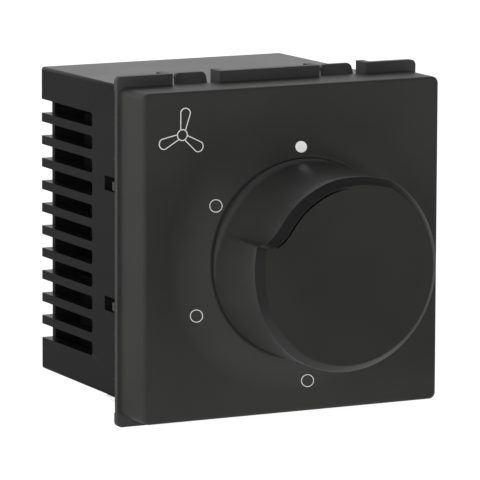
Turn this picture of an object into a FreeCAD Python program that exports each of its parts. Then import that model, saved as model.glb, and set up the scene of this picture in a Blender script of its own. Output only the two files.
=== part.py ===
import FreeCAD, Part
import math
import os
from FreeCAD import Vector

# Fan speed control switch: a 45 x 45 mm snap-in module with a rotary step knob.
# X runs to the right, Y into the wall and Z up; the module is seen from -Y.
# Y = 0 is the back of the carrier's flanges, where the module seats on its support frame.

# Cover
cover_size = 45.0
cover_depth = 7.4
cover_corner = 0.9
cover_edge = 0.4
cover_wall = 1.5
cover_web = 2.0
collar_height = 2.85
collar_toe = 19.2
collar_crest = 0.2
recess_depth = 0.8
boss_gap = 0.6

# Carrier
flange_depth = 2.8
flange_height = 48.0
flange_corner = 0.7
carrier_width = 45.8
rim_thickness = 0.8
carrier_thickness = 1.6
flange_land = 1.9
flange_plate = 1.0
return_wall = 1.1
tongue_places = (-11.03, 11.45)
tongue_window = 7.1
tongue_width = 4.6
tongue_thickness = 0.9
tongue_front = -1.5
tongue_lean = 0.6
tongue_back_lean = 0.3
tongue_drop = 0.2
tongue_root = 0.3
tongue_corner = 0.6
window_overlap = 0.3
core_corner = 0.6
lip_height = 2.0
lip_wall = 1.0
lip_inset = 1.6
root_overlap = 0.2
fit_gap = 0.1

# Housing
housing_width = 38.24
housing_height = 43.6
housing_taper = 0.12
housing_height_taper = 0.24
housing_depth = 32.2
housing_corner = 0.45
housing_edge = 0.35
side_wall = 1.8
end_wall = 1.6
rear_wall = 0.9
slot_count = 11
slot_pitch = 3.207
slot_height = 1.95
slot_length = 17.0
slot_corner = 0.5
slot_breach = 0.6
rib_end = 0.4
inner_corner = 0.6
rib_marks = (16.75, 11.1, -13.3, -19.46)
rib_mark_length = 7.9
rib_mark_width = 1.3
rib_mark_proud = 0.15
rib_mark_root = 0.4
rib_mark_corner = 0.25

# Clips that tie the housing to the carrier
clip_centre = -0.5
clip_offset = 8.37
clip_window_height = 2.0
clip_window_end = 9.2
clip_window_length = 4.0
clip_arm_width = 3.6
clip_arm_thickness = 1.2
clip_nose_height = 1.2
clip_nose_inset = 0.35
clip_nose_length = 2.4
clip_nose_land = 0.7

# Clips that tie the cover to the carrier
cover_clip_x = 6.5
cover_clip_inset = 4.0
cover_clip_width = 5.0
cover_clip_thickness = 1.2
cover_clip_nose = 0.7
cover_clip_reach = 1.2
cover_clip_slack = 0.3

# Knob
knob_z = -0.7
knob_radius = 13.6
knob_length = 16.5
knob_chamfer = 1.0
knob_gap = 0.1
knob_skirt = 0.4
knob_back_gap = 0.3
knob_wall = 1.5
knob_front_wall = 1.9
knob_boss_radius = 4.4
knob_rib_count = 6
knob_rib_thickness = 1.0
knob_rib_inset = 2.0
knob_root = 0.5
bore_gap = 0.05
bore_end_gap = 0.4
scoop_depth = 1.66
scoop_cove = 1.0
scoop_cove_share = 0.48
scoop_cove_steps = 3
scoop_line = (
    (58.0, 0.0), (70.0, -0.45), (85.0, -0.9), (100.0, -1.1), (115.0, -1.35), (130.0, -1.52),
    (145.0, -1.66), (151.0, -1.56), (156.0, -1.2), (160.0, -0.5), (162.3, 0.5),
)
scoop_line_steps = 2
tip_end = 200.0
scoop_fade = 138.0
tip_points = 5

# Spindle and rotary switch
spindle_radius = 3.0
spindle_reach = 12.0
spindle_flat = 1.5
running_gap = 0.05
spring_strip = 0.3
spring_strip_width = 4.4
spring_strip_inset = 0.5
spindle_tail = 0.2
bush_radius = 4.5
bush_reach = 3.0
washer_thickness = 0.6
washer_radius = 6.2
nut_thickness = 2.0
nut_flats = 11.0
nut_sides = 6
switch_size = 23.0
switch_depth = 5.0
switch_front_wall = 1.3
switch_back_gap = 0.9
chamber_radius = 8.3
wheel_radius = 6.5
wheel_thickness = 2.4
wheel_gap = 0.3
press_gap = 0.02
notch_count = 6
notch_depth = 0.7
ball_radius = 1.5
ball_gap = 0.04
spring_wire = 0.4
spring_turns = 3.0
spring_length = 2.6
spring_seat = 1.08
spring_side_gap = 0.1
spring_end_gap = 0.05
ball_tower_wall = 1.7
ball_tower_roof = 1.0
switch_corner = 1.0
switch_overlap = 0.5
contact_circle = 6.5
contact_radius = 1.3
common_contact_radius = 2.6
contact_root = 0.05
contact_thickness = 0.3
pin_radius = 0.45
pin_clearance = 0.06
pin_tail = 0.9
wiper_thickness = 0.3
wiper_width = 2.0
wiper_gap = 0.06
wiper_hub_radius = 3.2
wiper_tab_reach = 4.6
wiper_tab_half = 0.6
wiper_stud_x = 4.16
wiper_stud_radius = 0.4
wafer_thickness = 1.4
switch_screw_offset = 9.8
switch_screw_radius = 0.9
switch_screw_head = 1.6
switch_screw_head_height = 1.1
switch_screw_depth = 4.0
screw_tip_gap = 0.4
thread_gap = 0.03
recess_sink = 0.6
recess_width = 0.45
recess_reach = 1.2

# Circuit board and its parts
board_y = 6.7
board_thickness = 1.6
board_width = 30.6
board_top = 19.2
board_bottom = -18.0
post_x = 12.9
post_top_z = 17.0
post_bottom_z = -15.6
post_radius = 2.2
board_screw_radius = 1.05
board_screw_head = 1.9
board_screw_head_height = 1.2
board_screw_depth = 4.0
capacitor_length = 26.5
large_capacitor = (10.0, 19.0, 10.0)
small_capacitor = (8.5, 17.0, -0.3)
capacitor_edge = 0.5
capacitor_stand = 1.2
capacitor_lead = 24.0
lead_radius = 0.4
resistor_count = 3
resistor_top_z = -9.7
resistor_pitch = 3.15
resistor_radius = 1.25
resistor_length = 7.0
resistor_lead = 5.2
resistor_stand = 0.4
resistor_edge = 0.4
board_hole_gap = 0.15

# Terminals
terminal_x = 8.5
terminal_bottom = -17.2
terminal_width = 7.6
terminal_height = 9.0
terminal_length = 9.8
terminal_wall = 1.1
terminal_floor = 1.8
terminal_tail_width = 2.4
pocket_wall = 1.0
pocket_gap = 0.1
entry_radius = 2.2
terminal_screw_radius = 1.75
terminal_screw_head = 3.0
terminal_screw_head_height = 2.0
terminal_screw_travel = 1.8
terminal_screw_slack = 0.1
driver_hole_gap = 0.3
driver_slot_width = 0.8
driver_slot_depth = 0.9
clamp_thickness = 1.0
clamp_length = 7.0
clamp_side_gap = 0.15

# Snap wedges under the housing
wedge_inner_x = 11.9
wedge_outer_x = 18.8
wedge_front = 2.2
wedge_back = 9.2
wedge_drop = 1.75
wedge_stem_inset = 1.6
wedge_stem_front = 3.6
wedge_stem_back = 7.2
wedge_head = 1.0
wedge_head_overhang = 0.6
wedge_seat_gap = 0.02
wedge_land = 0.6
wedge_heel = 0.1

# Printed marks
off_mark = (1.16, 14.0)
speed_marks = ((11.72, 6.76), (14.61, -8.04), (2.36, -18.29), (-14.61, -8.04), (-11.72, 6.76))
dot_radius = 0.79
ring_radius = 0.88
ring_line = 0.10
print_azimuth = 27.0
print_elevation = 9.0
print_split = 5.0
print_reach = 6.0
ink_thickness = 0.05
fan_x = -16.8
fan_z = 16.7
fan_hub_radius = 0.8
fan_blade_reach = 3.7
fan_blade_tip = 0.8
fan_blade_root = 0.42
fan_blade_start = 0.2
fan_blade_angles = (81.0, 201.0, 325.0)
fan_line = 0.13

# Levels worked out from the sizes above
cover_clip_z = cover_size / 2.0 - cover_clip_inset
carrier_front = -flange_depth
carrier_back = carrier_front + carrier_thickness
cover_front = carrier_front - cover_depth
collar_front = cover_front - collar_height
recess_floor = cover_front + recess_depth
web_back = cover_front + cover_web
knob_front = cover_front - knob_length
knob_back = recess_floor - knob_back_gap
scoop_foot = collar_front - knob_skirt
housing_front = carrier_front + rim_thickness
housing_back = housing_front + housing_depth
recess_radius = knob_radius + knob_gap
bush_front = carrier_front - bush_reach
switch_back = carrier_back + switch_depth
wafer_back = switch_back + wafer_thickness
wheel_back = carrier_back + switch_front_wall + wheel_gap + wheel_thickness
board_back = board_y + board_thickness
terminal_top = terminal_bottom + terminal_height
terminal_back = housing_back - rear_wall - pocket_gap
terminal_front = terminal_back - terminal_length


def box(x0, x1, y0, y1, z0, z1):
    return Part.makeBox(x1 - x0, y1 - y0, z1 - z0, Vector(x0, y0, z0))


def rod(radius, y0, y1, x=0.0, z=0.0):
    # round bar along Y
    return Part.makeCylinder(radius, y1 - y0, Vector(x, y0, z), Vector(0, 1, 0))


def post(radius, z0, z1, x, y):
    # round bar along Z
    return Part.makeCylinder(radius, z1 - z0, Vector(x, y, z0), Vector(0, 0, 1))


def rounded_wire(width, height, corner, y, x=0.0, z=0.0):
    # rectangle with round corners in a plane of constant Y
    a = width / 2.0
    b = height / 2.0
    c = corner
    k = c * (1.0 - math.sqrt(0.5))
    edges = []
    for sx, sz in ((1, 1), (-1, 1), (-1, -1), (1, -1)):
        side = Vector(x + sx * a, y, z + sz * (b - c))
        middle = Vector(x + sx * (a - k), y, z + sz * (b - k))
        end = Vector(x + sx * (a - c), y, z + sz * b)
        order = (side, middle, end) if sx * sz > 0 else (end, middle, side)
        edges.append(order)
    parts = []
    for i in range(4):
        start, middle, end = edges[i]
        following = edges[(i + 1) % 4][0]
        parts.append(Part.Arc(start, middle, end).toShape())
        parts.append(Part.LineSegment(end, following).toShape())
    return Part.Wire(parts)


def rounded_bar(width, height, corner, y0, y1, x=0.0, z=0.0):
    face = Part.Face(rounded_wire(width, height, corner, y0, x, z))
    return face.extrude(Vector(0, y1 - y0, 0))


def outline_solid(points, direction):
    # flat outline of straight sides, extruded
    wire = Part.makePolygon(list(points) + [points[0]])
    return Part.Face(wire).extrude(direction)


def edges_at_y(shape, y):
    picked = []
    for edge in shape.Edges:
        bounds = edge.BoundBox
        if abs(bounds.YMin - y) < 1e-4 and abs(bounds.YMax - y) < 1e-4:
            picked.append(edge)
    return picked


def mirror_x(shape):
    return shape.mirror(Vector(0, 0, 0), Vector(1, 0, 0))


def fused(shapes):
    whole = shapes[0].multiFuse(list(shapes[1:]))
    return whole.removeSplitter()


def cut(shape, tools):
    return shape.cut(list(tools))


def polar(radius, degrees, y, x=0.0, z=0.0):
    a = math.radians(degrees)
    return Vector(x + radius * math.cos(a), y, z + radius * math.sin(a))


def make_collar(skin=0.0):
    # broad flare that rises from the cover's face to a rounded lip around the knob
    crest_radius = collar_crest + skin
    crest_r = recess_radius + collar_crest
    crest_y = collar_front + collar_crest
    run = collar_toe - crest_r
    rise = cover_front - crest_y
    sweep = (run ** 2 + rise ** 2 - collar_crest ** 2) / (2.0 * (rise + collar_crest))
    flare_radius = sweep - skin
    lean = math.atan2(run, sweep - rise)

    def on_crest(angle):
        return Vector(crest_r + crest_radius * math.sin(angle), crest_y - crest_radius * math.cos(angle), 0)

    def on_flare(angle):
        y = cover_front - sweep + flare_radius * math.cos(angle)
        return Vector(collar_toe - flare_radius * math.sin(angle), y, 0)

    base = cover_front + cover_web / 2.0
    inner = crest_r - crest_radius
    top = on_crest(0.0)
    toe = on_flare(0.0)
    edges = [
        Part.LineSegment(Vector(inner, base, 0), Vector(inner, top.y, 0)).toShape(),
        Part.LineSegment(Vector(inner, top.y, 0), top).toShape(),
        Part.Arc(top, on_crest(lean / 2.0), on_crest(lean)).toShape(),
        Part.Arc(on_flare(lean), on_flare(lean / 2.0), toe).toShape(),
        Part.LineSegment(toe, Vector(collar_toe, base, 0)).toShape(),
        Part.LineSegment(Vector(collar_toe, base, 0), Vector(inner, base, 0)).toShape(),
    ]
    ring = Part.Face(Part.Wire(edges)).revolve(Vector(0, 0, 0), Vector(0, 1, 0), 360)
    return ring.translated(Vector(0, 0, knob_z))


def cover_clip(x, side):
    # springy arm behind the cover with a nose that catches the carrier's back
    inner = side * (cover_clip_z - cover_clip_thickness / 2.0)
    outer = side * (cover_clip_z + cover_clip_thickness / 2.0)
    nose = outer + side * cover_clip_nose
    catch = carrier_back + fit_gap
    end = catch + cover_clip_reach
    points = [
        Vector(0, web_back - fit_gap, inner),
        Vector(0, web_back - fit_gap, outer),
        Vector(0, catch, outer),
        Vector(0, catch, nose),
        Vector(0, end, outer),
        Vector(0, end, inner),
    ]
    arm = outline_solid(points, Vector(cover_clip_width, 0, 0))
    return arm.translated(Vector(x - cover_clip_width / 2.0, 0, 0))


def make_cover():
    shell = rounded_bar(cover_size, cover_size, cover_corner, cover_front, carrier_front)
    shell = shell.makeFillet(cover_edge, edges_at_y(shell, cover_front))
    inner = cover_size - 2.0 * cover_wall
    hollow = rounded_bar(inner, inner, cover_corner / 2.0, web_back, carrier_front + 1.0)
    arms = []
    for side in (-1, 1):
        for x in (-cover_clip_x, cover_clip_x):
            arms.append(cover_clip(x, side))
    body = fused([cut(shell, [hollow]), make_collar()] + arms)
    recess = rod(recess_radius, collar_front - 1.0, recess_floor, 0, knob_z)
    opening = rod(knob_boss_radius + boss_gap, recess_floor - 1.0, web_back + 1.0, 0, knob_z)
    return cut(body, [recess, opening])


def tongue(x):
    # springy tongue in a window of the top or bottom flange, leaning back
    base = housing_height / 2.0 + fit_gap
    root = cover_size / 2.0 - fit_gap
    top = flange_height / 2.0 - tongue_drop
    back = tongue_front + tongue_thickness
    foot = carrier_front + fit_gap
    points = [
        Vector(0, foot, base),
        Vector(0, foot, base + tongue_root),
        Vector(0, tongue_front, root),
        Vector(0, tongue_front + tongue_lean, top),
        Vector(0, back + tongue_back_lean, top),
        Vector(0, back, root),
        Vector(0, back, base),
    ]
    blade = outline_solid(points, Vector(tongue_width, 0, 0))
    blade = blade.translated(Vector(x - tongue_width / 2.0, 0, 0))
    rounder = rounded_bar(tongue_width, 2.0 * top, tongue_corner, foot - 1.0, back + 1.0, x, 0)
    return blade.common(rounder)


def return_walls(sign):
    # walls that run back from the flange at both sides of each tongue window
    inner = sign * (flange_height / 2.0 - flange_land)
    outer = sign * flange_height / 2.0
    walls = []
    for x in tongue_places:
        for side in (-1, 1):
            a = x + side * tongue_window / 2.0
            b = a + side * return_wall
            walls.append(box(min(a, b), max(a, b), carrier_front, 0.0, min(inner, outer), max(inner, outer)))
    return walls


def housing_clip(side, z):
    # arm inside the housing whose nose shows in the housing's side window
    wall = housing_width / 2.0 - side_wall - housing_taper / 2.0
    outer = wall - fit_gap
    inner = outer - clip_arm_thickness
    end = clip_window_end - fit_gap
    half = clip_arm_width / 2.0
    arm = box(inner, outer, carrier_back - root_overlap, end, z - half, z + half)
    reach = housing_width / 2.0 - clip_nose_inset
    start = end - clip_nose_length
    nose_bottom = z - clip_window_height / 2.0 + fit_gap
    points = [
        Vector(outer - root_overlap, start, nose_bottom),
        Vector(reach, start, nose_bottom),
        Vector(reach, start + clip_nose_land, nose_bottom),
        Vector(outer - root_overlap, end, nose_bottom),
    ]
    nose = outline_solid(points, Vector(0, 0, clip_nose_height))
    clip = fused([arm, nose])
    return clip if side > 0 else mirror_x(clip)


def board_posts():
    places = []
    for z in (post_top_z, post_bottom_z):
        for x in (-post_x, post_x):
            places.append((x, z))
    return places


def make_carrier():
    half = flange_height / 2.0
    inner = half - flange_land
    rim = rounded_bar(carrier_width, flange_height, flange_corner, carrier_front, housing_front)
    core_width = housing_width - 2.0 * (side_wall + fit_gap)
    core_height = housing_height - 2.0 * (end_wall + fit_gap)
    core = rounded_bar(core_width, core_height, core_corner, carrier_front, carrier_back)
    solids = [rim, core]
    for sign in (-1, 1):
        z0 = sign * inner
        z1 = sign * half
        plate_back = carrier_front + flange_plate
        side = carrier_width / 2.0
        solids.append(box(-side, side, carrier_front, plate_back, min(z0, z1), max(z0, z1)))
        solids.extend(return_walls(sign))
    frame = fused(solids)
    rounder = rounded_bar(carrier_width, flange_height, flange_corner, carrier_front - 1.0, 1.0)
    frame = frame.common(rounder)
    windows = []
    for sign in (-1, 1):
        for x in tongue_places:
            low = sign * (cover_size / 2.0 - window_overlap)
            high = sign * (half + 1.0)
            half_window = tongue_window / 2.0
            windows.append(
                box(x - half_window, x + half_window, carrier_front - 1.0, 1.0, min(low, high), max(low, high))
            )
    frame = cut(frame, windows)
    pieces = [frame]
    for x in tongue_places:
        blade = tongue(x)
        pieces.append(blade)
        pieces.append(blade.mirror(Vector(0, 0, 0), Vector(0, 0, 1)))
    lip_outer = housing_width / 2.0 - side_wall - fit_gap
    lip_half = core_height / 2.0 - lip_inset
    for side in (-1, 1):
        lip = box(
            lip_outer - lip_wall, lip_outer, carrier_back - root_overlap, carrier_back + lip_height,
            -lip_half, lip_half,
        )
        pieces.append(lip if side > 0 else mirror_x(lip))
        for sign in (-1, 1):
            pieces.append(housing_clip(side, clip_centre + sign * clip_offset))
    for x, z in board_posts():
        pieces.append(rod(post_radius, carrier_back - root_overlap, board_y, x, z))
    frame = fused(pieces)
    holes = [rod(bush_radius + fit_gap, carrier_front - 1.0, carrier_back + 1.0, 0, knob_z)]
    for x, z in board_posts():
        holes.append(rod(board_screw_radius, board_y - board_screw_depth, board_y + 1.0, x, z))
    window_x = cover_clip_width + 2.0 * cover_clip_slack
    window_z = cover_clip_thickness + cover_clip_nose + 2.0 * cover_clip_slack
    for sign in (-1, 1):
        for x in (-cover_clip_x, cover_clip_x):
            z = sign * (cover_clip_z + cover_clip_nose / 2.0)
            holes.append(
                box(
                    x - window_x / 2.0,
                    x + window_x / 2.0,
                    carrier_front - 1.0,
                    carrier_back + 1.0,
                    z - window_z / 2.0,
                    z + window_z / 2.0,
                )
            )
    return cut(frame, holes)


def slot_bar(x0, x1, z):
    # bar with the outline of a slot: round at the front, flared at the back to round the ribs' ends
    start = housing_back - slot_length
    out = housing_back + 2.0
    half = slot_height / 2.0
    r = slot_corner
    q = rib_end
    k = 1.0 - math.sqrt(0.5)
    rows = []
    for side in (-1, 1):
        outline = [
            (start, half - r), (start + r * k, half - r * k), (start + r, half),
            (housing_back - q, half), (housing_back - q * k, half + q * k), (housing_back, half + q),
            (out, half + q),
        ]
        rows.append([Vector(x0, y, z + side * up) for y, up in outline])
    edges = []
    for a, b, c, d, e, f, g in rows:
        edges.append(Part.Arc(a, b, c).toShape())
        edges.append(Part.makeLine(c, d))
        edges.append(Part.Arc(d, e, f).toShape())
        edges.append(Part.makeLine(f, g))
    edges.append(Part.makeLine(rows[0][0], rows[1][0]))
    edges.append(Part.makeLine(rows[0][-1], rows[1][-1]))
    wire = Part.Wire(Part.__sortEdges__(edges))
    return Part.Face(wire).extrude(Vector(x1 - x0, 0, 0))


def slot_cutter(z):
    # one cooling slot: it opens into the housing, and its rear end notches the rear wall
    deep = housing_width / 2.0 - side_wall - housing_taper / 2.0
    out = housing_width / 2.0 + 1.0
    notch = slot_bar(deep, out, z)
    inside = box(
        deep - slot_breach, out, housing_front, housing_back - rear_wall, z - slot_pitch / 2.0, z + slot_pitch / 2.0
    )
    return fused([notch, slot_bar(deep - slot_breach, out, z).common(inside)])


def terminal_pocket(x):
    # walls and raised floor that hold one terminal cage
    half = terminal_width / 2.0 + pocket_gap
    bottom = -(housing_height / 2.0 - end_wall / 2.0 - housing_taper)
    floor = box(
        x - half - pocket_wall, x + half + pocket_wall, terminal_front, housing_back - rear_wall / 2.0,
        bottom, terminal_bottom - fit_gap / 2.0,
    )
    walls = [floor]
    for sign in (-1, 1):
        a = x + sign * half
        b = x + sign * (half + pocket_wall)
        walls.append(
            box(min(a, b), max(a, b), terminal_front, housing_back - rear_wall / 2.0, bottom, terminal_top)
        )
    return fused(walls)


def wedge_opening(side, grow):
    a = side * (wedge_inner_x + wedge_stem_inset - grow)
    b = side * (wedge_outer_x - wedge_stem_inset + grow)
    low = -housing_height / 2.0 - 1.0
    high = -housing_height / 2.0 + end_wall + 1.0
    return box(min(a, b), max(a, b), wedge_stem_front - grow, wedge_stem_back + grow, low, high)


def make_housing():
    width_back = housing_width - 2.0 * housing_taper
    height_back = housing_height - 2.0 * housing_height_taper
    outer = Part.makeLoft(
        [
            rounded_wire(housing_width, housing_height, housing_corner, housing_front),
            rounded_wire(width_back, height_back, housing_corner, housing_back),
        ],
        True,
        True,
    )
    outer = outer.makeFillet(housing_edge, edges_at_y(outer, housing_back))
    floor = housing_back - rear_wall
    inner = Part.makeLoft(
        [
            rounded_wire(
                housing_width - 2.0 * side_wall, housing_height - 2.0 * end_wall, inner_corner, housing_front
            ),
            rounded_wire(
                width_back - 2.0 * side_wall, height_back - 2.0 * end_wall, inner_corner, floor
            ),
        ],
        True,
        True,
    )
    pieces = [cut(outer, [inner])]
    for x in (-terminal_x, terminal_x):
        pieces.append(terminal_pocket(x))
    for z in rib_marks:
        for side in (-1, 1):
            x = side * (housing_width / 2.0 - rib_mark_root)
            bar = rounded_bar(
                2.0 * (rib_mark_root + rib_mark_proud), rib_mark_width, rib_mark_corner, housing_front,
                housing_front + rib_mark_length, x, z,
            )
            pieces.append(bar)
    shell = fused(pieces)
    tools = []
    top = (slot_count - 1) * slot_pitch / 2.0
    for i in range(slot_count):
        slot = slot_cutter(top - i * slot_pitch)
        tools.append(slot)
        tools.append(mirror_x(slot))
    for sign in (-1, 1):
        z = clip_centre + sign * clip_offset
        window = box(
            housing_width / 2.0 - side_wall - 1.0, housing_width / 2.0 + 1.0,
            clip_window_end - clip_window_length, clip_window_end,
            z - clip_window_height / 2.0, z + clip_window_height / 2.0,
        )
        tools.append(window)
        tools.append(mirror_x(window))
    entry_z = terminal_top - terminal_wall - entry_radius - fit_gap
    screw_y = (terminal_front + terminal_back) / 2.0
    for x in (-terminal_x, terminal_x):
        tools.append(rod(entry_radius, floor - 1.0, housing_back + 1.0, x, entry_z))
        tools.append(
            post(
                terminal_screw_head + driver_hole_gap, -housing_height / 2.0 - 1.0, terminal_bottom + 1.0,
                x, screw_y,
            )
        )
    for side in (-1, 1):
        tools.append(wedge_opening(side, fit_gap / 2.0))
    return cut(shell, tools)


def make_snap_wedge(side):
    # pale snap wedge under the housing, held by a stem through the bottom wall
    front_z = -housing_height / 2.0 + housing_taper / 3.0
    low = front_z - wedge_drop
    seat = front_z - wedge_seat_gap
    points = [
        Vector(0, wedge_front, seat),
        Vector(0, wedge_front, low),
        Vector(0, wedge_front + wedge_land, low),
        Vector(0, wedge_back, seat - wedge_heel),
        Vector(0, wedge_back, seat),
    ]
    wedge = outline_solid(points, Vector(wedge_outer_x - wedge_inner_x, 0, 0))
    wedge = wedge.translated(Vector(wedge_inner_x, 0, 0))
    stem_a = wedge_inner_x + wedge_stem_inset
    stem_b = wedge_outer_x - wedge_stem_inset
    wall_top = -housing_height / 2.0 + end_wall + housing_taper
    stem = box(stem_a, stem_b, wedge_stem_front, wedge_stem_back, seat - root_overlap, wall_top + wedge_head)
    head = box(
        stem_a - wedge_head_overhang, stem_b, wedge_stem_front - wedge_head_overhang,
        wedge_stem_back + wedge_head_overhang, wall_top + wedge_seat_gap, wall_top + wedge_head,
    )
    whole = fused([wedge, stem, head])
    return whole if side > 0 else mirror_x(whole)


def scoop_offset(angle):
    # how far the knob's front edge lies off its circle: a finger scoop that ends in a pointer tip
    first, last = scoop_line[0], scoop_line[-1]
    if angle < first[0] or angle > tip_end:
        return 0.0
    if angle > last[0]:
        return last[1] * ((tip_end - angle) / (tip_end - last[0])) ** 2
    i = 0
    while angle > scoop_line[i + 1][0]:
        i += 1
    a0, y0 = scoop_line[i]
    a1, y1 = scoop_line[i + 1]
    step = a1 - a0
    straight = (y1 - y0) / step
    slope0, slope1 = 0.0, straight
    if i > 0:
        before = scoop_line[i - 1]
        slope0 = (y1 - before[1]) / (a1 - before[0])
    if scoop_line[i + 1] != last:
        after = scoop_line[i + 2]
        slope1 = (after[1] - y0) / (after[0] - a0)
    t = (angle - a0) / step
    bend = t * (1.0 - t) * ((slope0 - straight) * (1.0 - t) - (slope1 - straight) * t)
    return y0 + (y1 - y0) * t + bend * step


def foot_offset(angle):
    # the same at the scoop's foot, where it runs out softly instead of ending in a tip
    if angle < scoop_fade:
        return scoop_offset(angle)
    turn = math.pi * (angle - scoop_fade) / (tip_end - scoop_fade)
    return scoop_offset(scoop_fade) * (1.0 + math.cos(turn)) / 2.0


def knob_wire(y, shrink, depth, offset=scoop_offset):
    # outline at one depth; depth 0 is a plain circle and 1 the full scoop
    def spline(angles):
        points = []
        for a in angles:
            points.append(polar(knob_radius + offset(a) * depth - shrink, a, y, 0, knob_z))
        curve = Part.BSplineCurve()
        curve.interpolate(points)
        return curve.toShape()

    scoop_start = scoop_line[0][0]
    scoop_tip = scoop_line[-1][0]
    scoop_angles = [scoop_start]
    for knot, following in zip(scoop_line, scoop_line[1:]):
        for i in range(scoop_line_steps):
            share = (i + 1) / scoop_line_steps
            scoop_angles.append(knot[0] + (following[0] - knot[0]) * share)
    tail_angles = []
    for i in range(tip_points + 1):
        tail_angles.append(scoop_tip + (tip_end - scoop_tip) * i / tip_points)
    start = polar(knob_radius - shrink, tip_end, y, 0, knob_z)
    middle = polar(knob_radius - shrink, (tip_end + scoop_start + 360.0) / 2.0, y, 0, knob_z)
    end = polar(knob_radius - shrink, scoop_start + 360.0, y, 0, knob_z)
    return Part.Wire([spline(scoop_angles), spline(tail_angles), Part.Arc(start, middle, end).toShape()])


def d_bore(radius, y0, y1, flat):
    bar = rod(radius, y0, y1, 0, knob_z)
    side = box(-radius - 1.0, radius + 1.0, y0 - 1.0, y1 + 1.0, knob_z - radius - 1.0, knob_z - flat)
    return cut(bar, [side])


def make_knob():
    # round at the back; the scoop starts with a cove and deepens towards the bevelled front
    sections = [knob_wire(knob_back, 0, 0)]
    for i in range(scoop_cove_steps + 1):
        share = i / scoop_cove_steps
        depth = scoop_cove_share * math.sqrt(1.0 - (1.0 - share) ** 2)
        sections.append(knob_wire(scoop_foot - scoop_cove * share, 0, depth, foot_offset))
    sections.append(knob_wire(knob_front + knob_chamfer, 0, 1))
    sections.append(knob_wire(knob_front, knob_chamfer, 1))
    body = Part.makeLoft(sections, True, True)
    inner_front = knob_front + knob_front_wall
    inner_radius = knob_radius - scoop_depth - knob_wall
    body = cut(body, [rod(inner_radius, inner_front, knob_back + 1.0, 0, knob_z)])
    boss_back = bush_front - knob_back_gap
    boss = rod(knob_boss_radius, inner_front - knob_root, boss_back, 0, knob_z)
    ribs = []
    for i in range(knob_rib_count):
        rib = box(
            knob_boss_radius - knob_root, inner_radius + knob_root, inner_front - knob_root,
            knob_back - knob_rib_inset,
            -knob_rib_thickness / 2.0, knob_rib_thickness / 2.0,
        )
        rib.rotate(Vector(0, 0, 0), Vector(0, 1, 0), (i + 0.5) * 360.0 / knob_rib_count)
        ribs.append(rib.translated(Vector(0, 0, knob_z)))
    body = body.fuse([boss] + ribs)
    bore = d_bore(
        spindle_radius + bore_gap, bush_front - spindle_reach - bore_end_gap, boss_back + 1.0,
        spindle_flat + spring_strip + 2.0 * bore_gap,
    )
    return cut(body, [bore])


def make_knob_spring():
    # steel strip between the spindle's flat and the flat side of the knob's bore
    y0 = bush_front - spindle_reach + spring_strip_inset
    y1 = bush_front - 2.0 * spring_strip_inset
    z = knob_z - spindle_flat - bore_gap
    half = spring_strip_width / 2.0
    return box(-half, half, y0, y1, z - spring_strip, z)


def make_spindle():
    whole = rod(spindle_radius, bush_front - spindle_reach, wheel_back + spindle_tail, 0, knob_z)
    flat = box(
        -spindle_radius - 1.0, spindle_radius + 1.0, bush_front - spindle_reach - 1.0,
        bush_front - fit_gap, knob_z - spindle_radius - 1.0, knob_z - spindle_flat,
    )
    return cut(whole, [flat])


def make_detent_wheel():
    # star wheel on the spindle with one notch for each speed position
    y0 = wheel_back - wheel_thickness
    y1 = wheel_back
    wheel = rod(wheel_radius, y0, y1, 0, knob_z)
    notch_centre = wheel_radius + ball_radius + ball_gap - notch_depth
    tools = [rod(spindle_radius + press_gap, y0 - 1.0, y1 + 1.0, 0, knob_z)]
    for i in range(notch_count):
        a = 90.0 + i * 360.0 / notch_count
        c = polar(notch_centre, a, 0, 0, knob_z)
        tools.append(rod(ball_radius + ball_gap, y0 - 1.0, y1 + 1.0, c.x, c.z))
    return cut(wheel, tools)


def make_wiper():
    # sprung contact arm behind the star wheel, from the hub ring out to the fixed contacts
    y1 = switch_back - contact_thickness - wiper_gap
    y0 = y1 - wiper_thickness
    half = wiper_width / 2.0
    pieces = [
        rod(wiper_hub_radius, y0, y1, 0, knob_z),
        box(-half, half, y0, y1, knob_z, knob_z + contact_circle),
        rod(half, y0, y1, 0, knob_z + contact_circle),
        box(-wiper_tab_reach, wiper_tab_reach, y0, y1, knob_z - wiper_tab_half, knob_z + wiper_tab_half),
    ]
    for side in (-1, 1):
        pieces.append(rod(wiper_stud_radius, wheel_back, y0 + root_overlap, side * wiper_stud_x, knob_z))
    return fused(pieces)


def ball_centre_z():
    return knob_z + wheel_radius + ball_radius + ball_gap


def ball_y():
    return wheel_back - wheel_thickness / 2.0


def make_ball():
    return Part.makeSphere(ball_radius, Vector(0, ball_y(), ball_centre_z()))


def make_detent_spring():
    # coil between the ball and the end of its pocket
    coil_radius = ball_radius - spring_wire / 2.0 - spring_side_gap
    low = ball_centre_z() + spring_seat
    height = spring_length - spring_wire
    pitch = height / spring_turns
    path = Part.makeHelix(pitch, height, coil_radius)
    start = path.Vertexes[0].Point
    section = Part.Wire([Part.makeCircle(spring_wire / 2.0, start, Vector(0, 1, 0))])
    coil = Part.Wire(path.Edges).makePipeShell([section], True, True)
    return coil.translated(Vector(0, ball_y(), low + spring_wire / 2.0))


def spring_top_z():
    return ball_centre_z() + spring_seat + spring_length


def switch_screw_places():
    return (
        (-switch_screw_offset, knob_z),
        (switch_screw_offset, knob_z),
    )


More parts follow.
